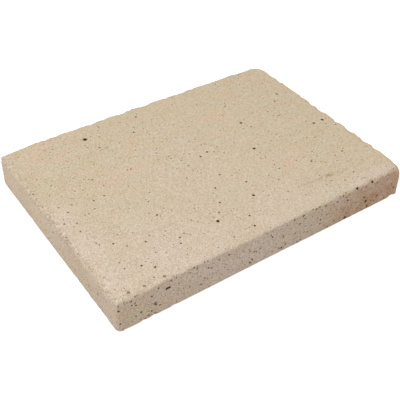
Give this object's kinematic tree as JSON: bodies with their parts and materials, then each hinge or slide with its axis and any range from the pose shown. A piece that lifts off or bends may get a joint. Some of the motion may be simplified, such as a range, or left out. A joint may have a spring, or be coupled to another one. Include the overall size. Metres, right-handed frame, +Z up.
{
  "type": "refractory firebrick",
  "caption": "Flat rectangular slab of beige fireclay with softly worn edges and corners, laid or stood as heat-proof lining in stoves, ovens and kilns.",
  "frame": {"origin": "middle of the underside, on the surface that the slab lies on", "axes": "+X along the long sides towards the right end, +Y along the short ends from the front side to the back side, +Z up through the thickness"},
  "size_m": [0.3, 0.215, 0.034],
  "materials": {
    "fireclay": "matte"
  },
  "bodies": {
    "root": {"firebrick": "fireclay"}
  },
  "joints": []
}
